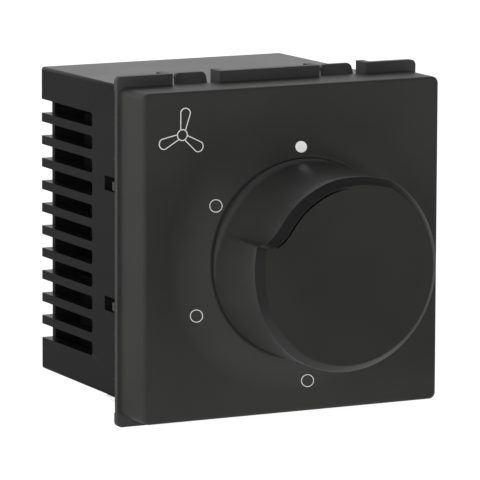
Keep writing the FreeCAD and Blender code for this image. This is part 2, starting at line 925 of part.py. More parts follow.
def make_switch_front():
    # front half of the switch: mounting bush, star wheel chamber and ball pocket
    block = rounded_bar(switch_size, switch_size, switch_corner, carrier_back, switch_back, 0, knob_z)
    roof = spring_top_z() + ball_tower_roof
    half = ball_radius + ball_tower_wall
    low = knob_z + switch_size / 2.0 - switch_overlap
    top = box(-half, half, carrier_back, switch_back, low, roof)
    bush = rod(bush_radius, bush_front, carrier_back + switch_overlap, 0, knob_z)
    body = fused([block, top, bush])
    tools = [
        rod(chamber_radius, carrier_back + switch_front_wall, switch_back + 1.0, 0, knob_z),
        rod(spindle_radius + running_gap, bush_front - 1.0, switch_back, 0, knob_z),
        post(
            ball_radius + running_gap, knob_z + wheel_radius, spring_top_z() + spring_end_gap, 0, ball_y()
        ),
    ]
    for x, z in switch_screw_places():
        tools.append(rod(switch_screw_radius, switch_back - switch_screw_depth, switch_back + 1.0, x, z))
    return cut(body, tools)


def contact_places():
    places = []
    for i in range(notch_count):
        places.append(polar(contact_circle, 90.0 - i * 360.0 / notch_count, 0, 0, knob_z))
    return places


def make_switch_wafer():
    # insulating plate that closes the chamber and carries the fixed contacts
    plate = rounded_bar(switch_size, switch_size, switch_corner, switch_back, wafer_back, 0, knob_z)
    tools = [rod(pin_radius + pin_clearance, switch_back - 1.0, wafer_back + 1.0, 0, knob_z)]
    for c in contact_places():
        tools.append(rod(pin_radius + pin_clearance, switch_back - 1.0, wafer_back + 1.0, c.x, c.z))
    for x, z in switch_screw_places():
        tools.append(rod(switch_screw_radius + fit_gap, switch_back - 1.0, wafer_back + 1.0, x, z))
    return cut(plate, tools)


def make_contact(x, z, radius):
    pad = rod(radius, switch_back - contact_thickness, switch_back, x, z)
    pin = rod(pin_radius, switch_back - contact_root, board_back + pin_tail, x, z)
    return fused([pad, pin])


def make_switch_screw(x, z):
    head = rod(switch_screw_head, wafer_back, wafer_back + switch_screw_head_height, x, z)
    tip = switch_back - switch_screw_depth + screw_tip_gap
    shank = rod(switch_screw_radius - thread_gap, tip, wafer_back, x, z)
    slot = box(
        x - switch_screw_head - 1.0, x + switch_screw_head + 1.0,
        wafer_back + switch_screw_head_height - recess_sink, wafer_back + switch_screw_head_height + 1.0,
        z - recess_width / 2.0, z + recess_width / 2.0,
    )
    return cut(fused([head, shank]), [slot])


def make_washer():
    disc = rod(washer_radius, carrier_front - washer_thickness, carrier_front, 0, knob_z)
    hole = rod(
        bush_radius + running_gap, carrier_front - washer_thickness - 1.0, carrier_front + 1.0, 0, knob_z
    )
    return cut(disc, [hole])


def make_nut():
    back = carrier_front - washer_thickness
    corner = nut_flats / math.sqrt(3.0)
    points = []
    for i in range(nut_sides):
        points.append(polar(corner, (i + 0.5) * 360.0 / nut_sides, back - nut_thickness, 0, knob_z))
    hexagon = outline_solid(points, Vector(0, nut_thickness, 0))
    hole = rod(bush_radius + thread_gap, back - nut_thickness - 1.0, back + 1.0, 0, knob_z)
    return cut(hexagon, [hole])


def capacitor(size):
    thickness, depth, z = size
    y0 = board_back + capacitor_stand
    body = rounded_bar(capacitor_length, thickness, capacitor_edge, y0, y0 + depth, 0, z)
    body = body.makeFillet(capacitor_edge, edges_at_y(body, y0 + depth))
    leads = []
    for sign in (-1, 1):
        leads.append(rod(lead_radius, board_y - pin_tail, y0 + capacitor_edge, sign * capacitor_lead / 2.0, z))
    return fused([body] + leads)


def resistor_z(i):
    return resistor_top_z - i * resistor_pitch


def make_resistor(i):
    z = resistor_z(i)
    y = board_back + resistor_radius + resistor_stand
    body = Part.makeCylinder(
        resistor_radius, resistor_length, Vector(-resistor_length / 2.0, y, z), Vector(1, 0, 0)
    )
    ends = [edge for edge in body.Edges if edge.BoundBox.XLength < 0.01]
    body = body.makeFillet(resistor_edge, ends)
    wire = Part.makeCylinder(lead_radius, 2.0 * resistor_lead, Vector(-resistor_lead, y, z), Vector(1, 0, 0))
    pieces = [body, wire]
    for sign in (-1, 1):
        x = sign * resistor_lead
        pieces.append(rod(lead_radius, board_y - pin_tail, y, x, z))
        pieces.append(Part.makeSphere(lead_radius, Vector(x, y, z)))
    return fused(pieces)


def make_board():
    plate = box(
        -board_width / 2.0, board_width / 2.0, board_y, board_back, board_bottom, board_top,
    )
    y0 = board_y - 1.0
    y1 = board_back + 1.0
    hole = lead_radius + pin_clearance
    tools = [rod(pin_radius + pin_clearance, y0, y1, 0, knob_z)]
    for c in contact_places():
        tools.append(rod(pin_radius + pin_clearance, y0, y1, c.x, c.z))
    for x, z in board_posts():
        tools.append(rod(board_screw_radius + board_hole_gap, y0, y1, x, z))
    for size in (large_capacitor, small_capacitor):
        for sign in (-1, 1):
            tools.append(rod(hole, y0, y1, sign * capacitor_lead / 2.0, size[2]))
    for i in range(resistor_count):
        for sign in (-1, 1):
            tools.append(rod(hole, y0, y1, sign * resistor_lead, resistor_z(i)))
    half = terminal_tail_width / 2.0 + fit_gap
    for x in (-terminal_x, terminal_x):
        tools.append(
            box(x - half, x + half, y0, y1, terminal_top - terminal_wall - fit_gap, terminal_top + fit_gap)
        )
    return cut(plate, tools)


def make_board_screw(x, z):
    top = board_back + board_screw_head_height
    head = rod(board_screw_head, board_back, top, x, z)
    tip = board_y - board_screw_depth + screw_tip_gap
    shank = rod(board_screw_radius - thread_gap, tip, board_back, x, z)
    slots = []
    for angle in (0, 90):
        half = recess_width / 2.0
        slot = box(-recess_reach, recess_reach, top - recess_sink, top + 1.0, -half, half)
        slot.rotate(Vector(0, 0, 0), Vector(0, 1, 0), angle)
        slots.append(slot.translated(Vector(x, 0, z)))
    return cut(fused([head, shank]), slots)


def make_terminal_cage(x):
    half = terminal_width / 2.0
    cage = box(x - half, x + half, terminal_front, terminal_back, terminal_bottom, terminal_top)
    tunnel = box(
        x - half + terminal_wall, x + half - terminal_wall, terminal_front - 1.0, terminal_back + 1.0,
        terminal_bottom + terminal_floor, terminal_top - terminal_wall,
    )
    tail_half = terminal_tail_width / 2.0
    tail = box(
        x - tail_half, x + tail_half, board_y - pin_tail, terminal_front + root_overlap,
        terminal_top - terminal_wall, terminal_top,
    )
    middle = (terminal_front + terminal_back) / 2.0
    thread = post(
        terminal_screw_radius, terminal_bottom - 1.0, terminal_bottom + terminal_floor + 1.0, x, middle
    )
    return fused([cut(cage, [tunnel, thread]), tail])


def clamp_bottom():
    return terminal_bottom + terminal_floor + terminal_screw_slack


def make_terminal_screw(x):
    middle = (terminal_front + terminal_back) / 2.0
    head_top = terminal_bottom - terminal_screw_travel - terminal_screw_slack
    head_bottom = head_top - terminal_screw_head_height
    head = post(terminal_screw_head, head_bottom, head_top, x, middle)
    shank = post(terminal_screw_radius - running_gap, head_top - root_overlap, clamp_bottom(), x, middle)
    slot = box(
        x - terminal_screw_head - 1.0, x + terminal_screw_head + 1.0,
        middle - driver_slot_width / 2.0, middle + driver_slot_width / 2.0,
        head_bottom - 1.0, head_bottom + driver_slot_depth,
    )
    return cut(fused([head, shank]), [slot])


def make_clamp_plate(x):
    middle = (terminal_front + terminal_back) / 2.0
    half = terminal_width / 2.0 - terminal_wall - clamp_side_gap
    return box(
        x - half, x + half, middle - clamp_length / 2.0, middle + clamp_length / 2.0,
        clamp_bottom(), clamp_bottom() + clamp_thickness,
    )


def print_column(radius, x, z):
    # round column through a point of the cover's face, leaning to the side the mark is read from
    side = 1.0 if x > print_split else -1.0
    azimuth = math.radians(print_azimuth)
    elevation = math.radians(print_elevation)
    lean = Vector(
        side * math.sin(azimuth) * math.cos(elevation),
        -math.cos(azimuth) * math.cos(elevation),
        math.sin(elevation),
    )
    foot = Vector(x, cover_front, z) - lean
    return Part.makeCylinder(radius, print_reach, foot, lean)


def ink(column):
    # film of print that follows the flare of the collar
    half = cover_size / 2.0 - cover_corner
    solids = []
    for skin in (0.0, ink_thickness):
        plate = box(-half, half, cover_front - skin, cover_front + cover_web, -half, half)
        solids.append(make_collar(skin).fuse(plate))
    ground, raised = solids
    recess = rod(recess_radius, collar_front - 1.0, cover_front + 1.0, 0, knob_z)
    return column.common(raised).cut(ground).cut(recess)


def make_mark_dot():
    x, z = off_mark
    return ink(print_column(dot_radius, x, z))


def make_mark_rings():
    rings = []
    for x, z in speed_marks:
        tube = cut(print_column(ring_radius, x, z), [print_column(ring_radius - ring_line, x, z)])
        rings.append(ink(tube))
    return Part.makeCompound(rings)


def blade_face(angle, shrink):
    # teardrop blade: a small round root, straight sides and a large round tip
    tip_centre = fan_blade_reach - fan_blade_tip
    root_centre = fan_blade_start + fan_blade_root
    r_tip = fan_blade_tip - shrink
    r_root = fan_blade_root - shrink
    lean = math.degrees(math.acos((r_root - r_tip) / (tip_centre - root_centre)))
    base = -ink_thickness

    def at(centre, radius, degrees):
        a = math.radians(degrees)
        return Vector(centre + radius * math.cos(a), base, radius * math.sin(a))

    upper_tip = at(tip_centre, r_tip, 180.0 - lean)
    lower_tip = at(tip_centre, r_tip, lean - 180.0)
    upper_root = at(root_centre, r_root, 180.0 - lean)
    lower_root = at(root_centre, r_root, lean - 180.0)
    wire = Part.Wire(
        [
            Part.Arc(lower_tip, at(tip_centre, r_tip, 0.0), upper_tip).toShape(),
            Part.LineSegment(upper_tip, upper_root).toShape(),
            Part.Arc(upper_root, at(root_centre, r_root, 180.0), lower_root).toShape(),
            Part.LineSegment(lower_root, lower_tip).toShape(),
        ]
    )
    face = Part.Face(wire)
    face.rotate(Vector(0, 0, 0), Vector(0, 1, 0), -angle)
    return face.extrude(Vector(0, ink_thickness, 0))


def make_fan_symbol():
    hub = cut(
        rod(fan_hub_radius, -ink_thickness, 0.0), [rod(fan_hub_radius - fan_line, -1.0, 1.0)]
    )
    pieces = [hub]
    for angle in fan_blade_angles:
        blade = cut(blade_face(angle, 0.0), [blade_face(angle, fan_line)])
        pieces.append(cut(blade, [rod(fan_hub_radius, -1.0, 1.0)]))
    symbol = fused(pieces)
    return symbol.translated(Vector(fan_x, cover_front, fan_z))


def build():
    nodes = {
        "cover_plate": make_cover(),
        "carrier_frame": make_carrier(),
        "rear_housing": make_housing(),
        "snap_wedge_left": make_snap_wedge(-1),
        "snap_wedge_right": make_snap_wedge(1),
        "knob": make_knob(),
        "knob_spring": make_knob_spring(),
        "spindle": make_spindle(),
        "detent_wheel": make_detent_wheel(),
        "wiper_arm": make_wiper(),
        "detent_ball": make_ball(),
        "detent_spring": make_detent_spring(),
        "switch_front": make_switch_front(),
        "switch_wafer": make_switch_wafer(),
        "bush_washer": make_washer(),
        "bush_nut": make_nut(),
        "common_contact": make_contact(0, knob_z, common_contact_radius),
        "circuit_board": make_board(),
        "capacitor_large": capacitor(large_capacitor),
        "capacitor_small": capacitor(small_capacitor),
        "mark_dot": make_mark_dot(),
        "mark_rings": make_mark_rings(),
        "fan_symbol": make_fan_symbol(),
    }
    for i, c in enumerate(contact_places()):
        name = "contact_speed_%d" % i if i else "contact_off"
        nodes[name] = make_contact(c.x, c.z, contact_radius)
    for i in range(resistor_count):
        nodes["resistor_%d" % (i + 1)] = make_resistor(i)
    for i, (x, z) in enumerate(switch_screw_places()):
        nodes["switch_screw_%d" % (i + 1)] = make_switch_screw(x, z)
    for i, (x, z) in enumerate(board_posts()):
        nodes["board_screw_%d" % (i + 1)] = make_board_screw(x, z)
    for i, x in enumerate((-terminal_x, terminal_x)):
        nodes["terminal_cage_%d" % (i + 1)] = make_terminal_cage(x)
        nodes["terminal_screw_%d" % (i + 1)] = make_terminal_screw(x)
        nodes["clamp_plate_%d" % (i + 1)] = make_clamp_plate(x)
    return nodes


os.makedirs("parts", exist_ok=True)
for name, shape in build().items():
    shape.exportStep("parts/%s.step" % name)
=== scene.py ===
import math

import bmesh
import bpy
from mathutils import Matrix, Vector


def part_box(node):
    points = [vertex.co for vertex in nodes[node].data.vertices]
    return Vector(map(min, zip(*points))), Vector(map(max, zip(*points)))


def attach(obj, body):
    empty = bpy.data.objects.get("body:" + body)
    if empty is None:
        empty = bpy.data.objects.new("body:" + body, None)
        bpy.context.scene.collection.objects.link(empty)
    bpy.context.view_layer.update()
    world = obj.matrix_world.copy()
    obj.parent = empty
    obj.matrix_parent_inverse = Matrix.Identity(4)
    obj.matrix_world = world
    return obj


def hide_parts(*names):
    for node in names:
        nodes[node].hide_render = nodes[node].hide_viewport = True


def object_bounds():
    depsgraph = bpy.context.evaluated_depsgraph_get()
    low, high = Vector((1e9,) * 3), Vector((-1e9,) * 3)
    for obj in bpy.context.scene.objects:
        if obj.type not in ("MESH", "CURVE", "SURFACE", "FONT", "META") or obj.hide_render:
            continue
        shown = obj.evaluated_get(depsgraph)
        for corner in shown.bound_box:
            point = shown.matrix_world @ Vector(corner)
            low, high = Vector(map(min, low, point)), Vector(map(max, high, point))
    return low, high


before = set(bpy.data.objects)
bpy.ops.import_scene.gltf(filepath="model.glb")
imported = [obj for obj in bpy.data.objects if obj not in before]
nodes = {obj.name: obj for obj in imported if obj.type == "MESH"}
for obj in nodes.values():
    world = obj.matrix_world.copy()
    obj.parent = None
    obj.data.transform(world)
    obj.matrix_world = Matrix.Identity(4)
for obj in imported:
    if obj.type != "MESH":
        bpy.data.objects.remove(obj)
cad_low, cad_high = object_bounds()
mm = 0.001


# Carrier frame: the black moulding that everything is built on. Its flanges seat on the
# support frame, with the sprung tongues in their windows; the parting edges are eased.
def start_material(name):
    """A new material, with its node tree, its shader and the object's own coordinates."""
    material = bpy.data.materials.new(name)
    material.use_nodes = True
    tree = material.node_tree
    place = tree.nodes.new("ShaderNodeTexCoord")
    return material, tree, tree.nodes["Principled BSDF"], place.outputs["Object"]


def noise(tree, place, scale, detail):
    """The factor of a noise texture."""
    texture = tree.nodes.new("ShaderNodeTexNoise")
    texture.inputs["Scale"].default_value = scale
    texture.inputs["Detail"].default_value = detail
    tree.links.new(place, texture.inputs["Vector"])
    return texture.outputs["Fac"]


def tint(tree, factor, shader, colour, dark, bright, ends=(0.0, 1.0)):
    """Lets the shader's colour run from a dark to a bright share of one colour."""
    shades = tree.nodes.new("ShaderNodeValToRGB")
    for stop, share, position in zip(shades.color_ramp.elements, (dark, bright), ends):
        stop.position = position
        stop.color = (*[c * share for c in colour], 1.0)
    tree.links.new(factor, shades.inputs["Fac"])
    tree.links.new(shades.outputs["Color"], shader.inputs["Base Color"])


def vary_gloss(tree, factor, shader, roughness, spread):
    """Lets the shader's roughness vary by the spread."""
    gloss = tree.nodes.new("ShaderNodeMapRange")
    gloss.inputs["To Min"].default_value = roughness - spread
    gloss.inputs["To Max"].default_value = roughness + spread
    tree.links.new(factor, gloss.inputs["Value"])
    tree.links.new(gloss.outputs["Result"], shader.inputs["Roughness"])


def moulded_plastic(name, colour, roughness, grain=0.12, specular=0.5):
    """Moulded plastic: a fine spark-eroded grain, with faint changes of tone and gloss."""
    material, tree, shader, place = start_material(name)
    shader.inputs["Specular IOR Level"].default_value = specular
    tone = noise(tree, place, scale=90.0, detail=4.0)
    tint(tree, tone, shader, colour, dark=0.92, bright=1.08, ends=(0.3, 0.7))
    vary_gloss(tree, tone, shader, roughness, spread=0.04)
    pores = noise(tree, place, scale=5200.0, detail=2.0)
    bump = tree.nodes.new("ShaderNodeBump")
    bump.inputs["Strength"].default_value = grain
    bump.inputs["Distance"].default_value = 0.02 * mm
    tree.links.new(pores, bump.inputs["Height"])
    tree.links.new(bump.outputs["Normal"], shader.inputs["Normal"])
    return material


def finish_node(name, material, soft_edge=0.0):
    """Gives a solid its material and, where asked, eased edges that catch the light."""
    solid = nodes[name]
    solid.data.materials.clear()
    solid.data.materials.append(material)
    if soft_edge > 0.0:
        weld = solid.modifiers.new("weld", "WELD")
        weld.merge_threshold = 0.002 * mm
        bevel = solid.modifiers.new("soft_edge", "BEVEL")
        bevel.width = soft_edge
        bevel.segments = 2
        bevel.limit_method = "ANGLE"
        bevel.angle_limit = math.radians(40.0)
        bevel.harden_normals = True


# Its black is lighter than the cover's: the frame's own black, with painted light added for the
# shade it stands in behind the cover's top.
frame_black = moulded_plastic("frame_black", (0.0300, 0.0300, 0.0300), 0.45, specular=0.3)
finish_node("carrier_frame", frame_black, 0.10 * mm)


# Rotary switch: a dark moulded body with a laminate wafer behind it. The brass contacts are
# pressed into the wafer, and two small screws hold both halves together.
def bright_metal(name, colour, roughness):
    """Plated or drawn metal with fine drawing lines and slight clouding."""
    material, tree, shader, place = start_material(name)
    shader.inputs["Metallic"].default_value = 1.0
    stretch = tree.nodes.new("ShaderNodeMapping")
    stretch.inputs["Scale"].default_value = (1.0, 1.0, 10.0)
    tree.links.new(place, stretch.inputs["Vector"])
    lines = noise(tree, stretch.outputs["Vector"], scale=900.0, detail=3.0)
    tint(tree, lines, shader, colour, dark=0.85, bright=1.0)
    vary_gloss(tree, lines, shader, roughness, spread=0.06)
    return material


switch_black = moulded_plastic("switch_plastic", (0.02, 0.021, 0.022), 0.5)
laminate = moulded_plastic("wafer_laminate", (0.20, 0.105, 0.045), 0.55, grain=0.3)
contact_brass = bright_metal("contact_brass", (0.72, 0.53, 0.24), 0.28)
zinc = bright_metal("zinc_plated", (0.62, 0.64, 0.66), 0.32)
finish_node("switch_front", switch_black, 0.10 * mm)
finish_node("switch_wafer", laminate)
for name in ("common_contact", "contact_off", "wiper_arm"):
    finish_node(name, contact_brass)
for number in range(1, 6):
    finish_node("contact_speed_%d" % number, contact_brass)
for name in ("switch_screw_1", "switch_screw_2", "bush_washer", "bush_nut"):
    finish_node(name, zinc, 0.05 * mm)


# Spindle and detent: the turned metal spindle carries a natural nylon star wheel, and a
# sprung steel ball drops into its notches.
spindle_metal = bright_metal("spindle_metal", (0.70, 0.70, 0.70), 0.3)
spring_steel = bright_metal("spring_steel", (0.55, 0.55, 0.53), 0.25)
nylon = moulded_plastic("wheel_nylon", (0.62, 0.60, 0.53), 0.45)
finish_node("spindle", spindle_metal, 0.05 * mm)
finish_node("detent_wheel", nylon)
for name in ("detent_ball", "detent_spring", "knob_spring"):
    finish_node(name, spring_steel)


# Circuit board: glass laminate under a green solder mask, with two film capacitors in black
# cases and three glazed resistors soldered in. Four screws hold it to the carrier's posts.
solder_mask = moulded_plastic("board_green", (0.012, 0.085, 0.035), 0.35, grain=0.25)
capacitor_case = moulded_plastic("capacitor_case", (0.007, 0.007, 0.0075), 0.45, specular=0.2)
glaze = moulded_plastic("resistor_glaze", (0.10, 0.20, 0.28), 0.25)
finish_node("circuit_board", solder_mask)
for name in ("capacitor_large", "capacitor_small"):
    finish_node(name, capacitor_case)
for number in range(1, 4):
    finish_node("resistor_%d" % number, glaze)
for number in range(1, 5):
    finish_node("board_screw_%d" % number, zinc)


# Terminals: two folded brass cages behind the wire entries. In each, a screw draws a plated
# clamp plate up against the wire.
for number in (1, 2):
    finish_node("terminal_cage_%d" % number, contact_brass)
    finish_node("clamp_plate_%d" % number, zinc)
    finish_node("terminal_screw_%d" % number, zinc, 0.05 * mm)


# Rear housing: a deep black box with cooling slots, pushed over the carrier until its hooks
# snap into the side windows. Two pale wedges under it are pushed in from below.
body_black = moulded_plastic("body_black", (0.0062, 0.0062, 0.0062), 0.28, specular=0.12)
pale_grey = moulded_plastic("pale_grey", (0.55, 0.55, 0.54), 0.45)
finish_node("rear_housing", body_black, 0.12 * mm)
for name in ("snap_wedge_left", "snap_wedge_right"):
    finish_node(name, pale_grey, 0.10 * mm)


# Front cover: a square black moulding, injected in one piece with the broad flare and the
# rounded lip that the knob turns in. It clips into the carrier.
cover_low, cover_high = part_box("cover_plate")
plate_half = cover_high.x
collar_front = cover_low.y
collar_height = 2.85 * mm
face_y = collar_front + collar_height
plate_depth = 7.4 * mm
plate_corner = 0.9 * mm
plate_edge = 0.45 * mm
plate_border = 0.2 * mm
plate_wall = 1.5 * mm
plate_web = 2.0 * mm
round_steps = 6
knob_axis_z = -0.7 * mm
lip_radius = 13.63 * mm
lip_inner = 0.06 * mm
lip_crest = 0.27 * mm
recess_floor = face_y + 0.8 * mm
toe_radius = 19.2 * mm
hub_opening = 5.0 * mm
cover_steps = 192
cover_sharp = 35.0
same_plane = 0.01 * mm


def begin_edit(piece, kind, wanted):
    """Opens a piece for editing with only the wanted vertices, edges or faces selected."""
    bpy.ops.object.select_all(action="DESELECT")
    piece.select_set(True)
    bpy.context.view_layer.objects.active = piece
    bpy.ops.object.mode_set(mode="EDIT")
    bpy.ops.mesh.select_mode(type=kind)
    bpy.ops.mesh.select_all(action="DESELECT")
    bm = bmesh.from_edit_mesh(piece.data)
    for element in {"VERT": bm.verts, "EDGE": bm.edges, "FACE": bm.faces}[kind]:
        if wanted(element):
            element.select_set(True)
    bm.select_flush_mode()
    bmesh.update_edit_mesh(piece.data)


def end_edit():
    """Closes the piece again."""
    bpy.ops.object.mode_set(mode="OBJECT")


def turned(name, stations, steps):
    """Spins a line of (radius, depth) stations round the knob's axis, as on a lathe."""
    mesh = bpy.data.meshes.new(name)
    points = [(radius, depth, knob_axis_z) for radius, depth in stations]
    mesh.from_pydata(points, [(i, i + 1) for i in range(len(points) - 1)], [])
    piece = bpy.data.objects.new(name, mesh)
    bpy.context.scene.collection.objects.link(piece)
    begin_edit(piece, "VERT", lambda v: True)
    bpy.ops.mesh.spin(
        steps=steps, angle=2.0 * math.pi, center=(0.0, 0.0, knob_axis_z), axis=(0.0, 1.0, 0.0)
    )
    bpy.ops.mesh.select_all(action="SELECT")
    bpy.ops.mesh.remove_doubles(threshold=0.0005 * mm)
    end_edit()
    return piece


def arc(centre_radius, centre_depth, size, start, stop, steps):
    """Stations along an arc; 0 degrees points outwards and 90 degrees to the front."""
    stations = []
    for i in range(steps + 1):
        a = math.radians(start + (stop - start) * i / steps)
        stations.append((centre_radius + size * math.cos(a), centre_depth - size * math.sin(a)))
    return stations


def smooth(piece, sharp):
    """Shades a piece smooth, apart from edges sharper than the given degrees."""
    bpy.ops.object.select_all(action="DESELECT")
    piece.select_set(True)
    bpy.context.view_layer.objects.active = piece
    bpy.ops.object.shade_smooth_by_angle(angle=math.radians(sharp))


# The flare is one arc that leaves the plate level and meets the crest of the lip smoothly.
crest_radius = lip_radius + lip_crest
crest_depth = collar_front + lip_crest
run = toe_radius - crest_radius
rise = face_y - crest_depth
sweep = (run ** 2 + rise ** 2 - lip_crest ** 2) / (2.0 * (rise + lip_crest))
lean = math.degrees(math.atan2(sweep - rise, run))
stations = [(toe_radius, face_y + plate_web), (hub_opening, face_y + plate_web)]
stations += [(hub_opening, recess_floor), (lip_radius, recess_floor)]
stations += arc(lip_radius + lip_inner, collar_front + lip_inner, lip_inner, 180.0, 90.0, 3)
stations += arc(crest_radius, crest_depth, lip_crest, 90.0, lean, 10)
stations += arc(toe_radius, face_y - sweep, sweep, 180.0 + lean, 270.0, 24)[1:]
cover = turned("cover_moulding", stations, cover_steps)

# The plate: a hollow square block with rounded corners and a rounded front edge.
bpy.ops.object.select_all(action="DESELECT")
bpy.ops.mesh.primitive_cube_add(
    size=1.0, location=(0.0, face_y + plate_depth / 2.0, 0.0),
    scale=(2.0 * plate_half, plate_depth, 2.0 * plate_half),
)
plate = bpy.context.object
bpy.ops.object.transform_apply(location=True, rotation=True, scale=True)
begin_edit(plate, "EDGE", lambda e: abs(e.verts[0].co.y - e.verts[1].co.y) > mm)
bpy.ops.mesh.bevel(offset=plate_corner, segments=round_steps, affect="EDGES")
end_edit()
begin_edit(plate, "FACE", lambda f: f.normal.y > 0.9)
bpy.ops.mesh.inset(thickness=plate_wall)
bpy.ops.mesh.extrude_region_move(
    TRANSFORM_OT_translate={"value": (0.0, plate_web - plate_depth, 0.0)}
)
end_edit()
begin_edit(plate, "EDGE", lambda e: all(v.co.y < face_y + same_plane for v in e.verts))
bpy.ops.mesh.bevel(offset=plate_edge, segments=round_steps, affect="EDGES")
end_edit()
begin_edit(plate, "FACE", lambda f: f.normal.y < -0.999)
bpy.ops.mesh.inset(thickness=plate_border)
end_edit()

# Its two large faces are opened, and each is bridged to the toe of the turned collar.
begin_edit(plate, "FACE", lambda f: len(f.verts) > 4)
bpy.ops.mesh.delete(type="FACE")
end_edit()
bpy.ops.object.select_all(action="DESELECT")
plate.select_set(True)
cover.select_set(True)
bpy.context.view_layer.objects.active = cover
bpy.ops.object.join()
for depth in (face_y, face_y + plate_web):
    begin_edit(
        cover, "EDGE",
        lambda e: e.is_boundary and all(abs(v.co.y - depth) < same_plane for v in e.verts),
    )
    bpy.ops.mesh.bridge_edge_loops()
    end_edit()
begin_edit(cover, "VERT", lambda v: True)
bpy.ops.mesh.normals_make_consistent(inside=False)
end_edit()
smooth(cover, cover_sharp)

cover_black = moulded_plastic("cover_black", (0.0200, 0.0200, 0.0192), 0.42, specular=0.25)
cover.data.materials.append(cover_black)
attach(cover, "module")
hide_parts("cover_plate")


# Printed marks: white ink pads on the finished cover, the OFF dot, the open speed rings
# and the outline of a three-blade fan. The thin lines are a little greyer than the dot.
def printed_ink(name, colour):
    """Flat ink whose tone varies with the thickness of the film."""
    material, tree, shader, place = start_material(name)
    shader.inputs["Roughness"].default_value = 0.55
    film = noise(tree, place, scale=900.0, detail=2.0)
    tint(tree, film, shader, colour, dark=0.93, bright=1.0)
    return material


white_ink = printed_ink("white_ink", (0.67, 0.68, 0.67))
thin_ink = printed_ink("thin_white_ink", (0.48, 0.49, 0.48))
finish_node("mark_dot", white_ink)
for name in ("mark_rings", "fan_symbol"):
    finish_node(name, thin_ink)


# Knob: a hollow black moulding with a bevelled front, pushed onto the flat of the spindle.
# A finger scoop in its flank ends in a sharp tip; the scoop line gives degrees and mm off
# the circle of the front edge.
knob_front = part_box("knob")[0].y
knob_back = -9.7 * mm
knob_radius = 13.6 * mm
knob_bevel = 1.0 * mm
knob_soft = 0.2 * mm
knob_soft_steps = 3
knob_wall = 1.5 * mm
knob_roof = 1.9 * mm
knob_steps = 360
knob_sharp = 28.0
cove_steps = 6
flank_steps = 8
scoop_depth = 1.66 * mm
scoop_line = (
    (58.0, 0.0), (70.0, -0.45), (85.0, -0.9), (100.0, -1.1), (115.0, -1.35), (130.0, -1.52),
    (145.0, -1.66), (151.0, -1.56), (156.0, -1.2), (160.0, -0.5), (162.3, 0.5),
)
tip_end = 200.0
scoop_fade = 138.0
scoop_foot = collar_front - 0.4 * mm
scoop_cove = 1.0 * mm
scoop_cove_share = 0.48
cove_top = scoop_foot - scoop_cove
groove_start = 92.0
groove_stop = 160.0
groove_run_in = 6.0
groove_run_out = 30.0
groove_width = 0.24 * mm
groove_depth = 0.45 * mm
groove_bank = 0.02 * mm
groove_margin = 0.03 * mm


def scoop_offset(angle):
    """How far the front edge lies off its circle: a finger scoop that ends in a sharp tip."""
    first, last = scoop_line[0], scoop_line[-1]
    if angle < first[0] or angle > tip_end:
        return 0.0
    if angle > last[0]:
        return last[1] * mm * ((tip_end - angle) / (tip_end - last[0])) ** 2
    i = max(k for k in range(len(scoop_line) - 1) if angle >= scoop_line[k][0])
    (a0, y0), (a1, y1) = scoop_line[i], scoop_line[i + 1]
    straight = (y1 - y0) / (a1 - a0)
    slope0, slope1 = 0.0, straight
    if i > 0:
        before = scoop_line[i - 1]
        slope0 = (y1 - before[1]) / (a1 - before[0])
    if i + 2 < len(scoop_line):
        after = scoop_line[i + 2]
        slope1 = (after[1] - y0) / (after[0] - a0)
    t = (angle - a0) / (a1 - a0)
    bend = t * (1.0 - t) * ((slope0 - straight) * (1.0 - t) - (slope1 - straight) * t)
    return (y0 + (y1 - y0) * t + bend * (a1 - a0)) * mm


def foot_offset(angle):
    """The same at the scoop's foot, where it runs out softly instead of ending in a tip."""
    if angle < scoop_fade:
        return scoop_offset(angle)
    if angle > tip_end:
        return 0.0
    turn = math.pi * (angle - scoop_fade) / (tip_end - scoop_fade)
    return scoop_offset(scoop_fade) * (1.0 + math.cos(turn)) / 2.0


def scooped(angle, depth):
    """The scoop at one angle and depth: a cove at its foot, then straight to the front edge."""
    up = min(1.0, max(0.0, (scoop_foot - depth) / scoop_cove))
    cove = scoop_cove_share * math.sqrt(1.0 - (1.0 - up) ** 2)
    t = min(1.0, max(0.0, (cove_top - depth) / (cove_top - knob_front - knob_bevel)))
    return foot_offset(angle) * cove * (1.0 - t) + scoop_offset(angle) * t


# The blank is turned first: bore, flank, and a 45 degree bevel with softened edges. Its rings
# lie close together at the foot, where the cove will be.
inside = knob_radius - scoop_depth - knob_wall
half_corner = math.radians(67.5)
reach = knob_soft / math.tan(half_corner)
bevel_back = knob_front + knob_bevel
flank_top = bevel_back + reach
stations = [(inside, knob_front + knob_roof), (inside, knob_back), (knob_radius, knob_back)]
for i in range(cove_steps + 1):
    turn = math.radians(90.0 * i / cove_steps)
    stations.append((knob_radius, scoop_foot - scoop_cove * (1.0 - math.cos(turn))))
for i in range(1, flank_steps):
    stations.append((knob_radius, cove_top + (flank_top - cove_top) * i / flank_steps))
stations += arc(knob_radius - knob_soft, flank_top, knob_soft, 0.0, 45.0, knob_soft_steps)
face_edge = knob_radius - knob_bevel - reach
stations += arc(face_edge, knob_front + knob_soft, knob_soft, 45.0, 90.0, knob_soft_steps)
groove_outer = face_edge - groove_margin
groove_lines = (
    groove_outer, groove_outer - groove_bank,
    groove_outer - groove_width, groove_outer - groove_width - groove_margin,
)
stations += [(radius, knob_front) for radius in groove_lines]
knob = turned("knob_moulding", stations, knob_steps)

# The face is closed, and then the roof inside.
begin_edit(knob, "EDGE", lambda e: e.is_boundary and e.verts[0].co.y < knob_front + 0.1 * mm)
bpy.ops.mesh.edge_face_add()
end_edit()
begin_edit(knob, "EDGE", lambda e: e.is_boundary)
bpy.ops.mesh.edge_face_add()
bpy.ops.mesh.select_all(action="SELECT")
bpy.ops.mesh.normals_make_consistent(inside=False)
end_edit()

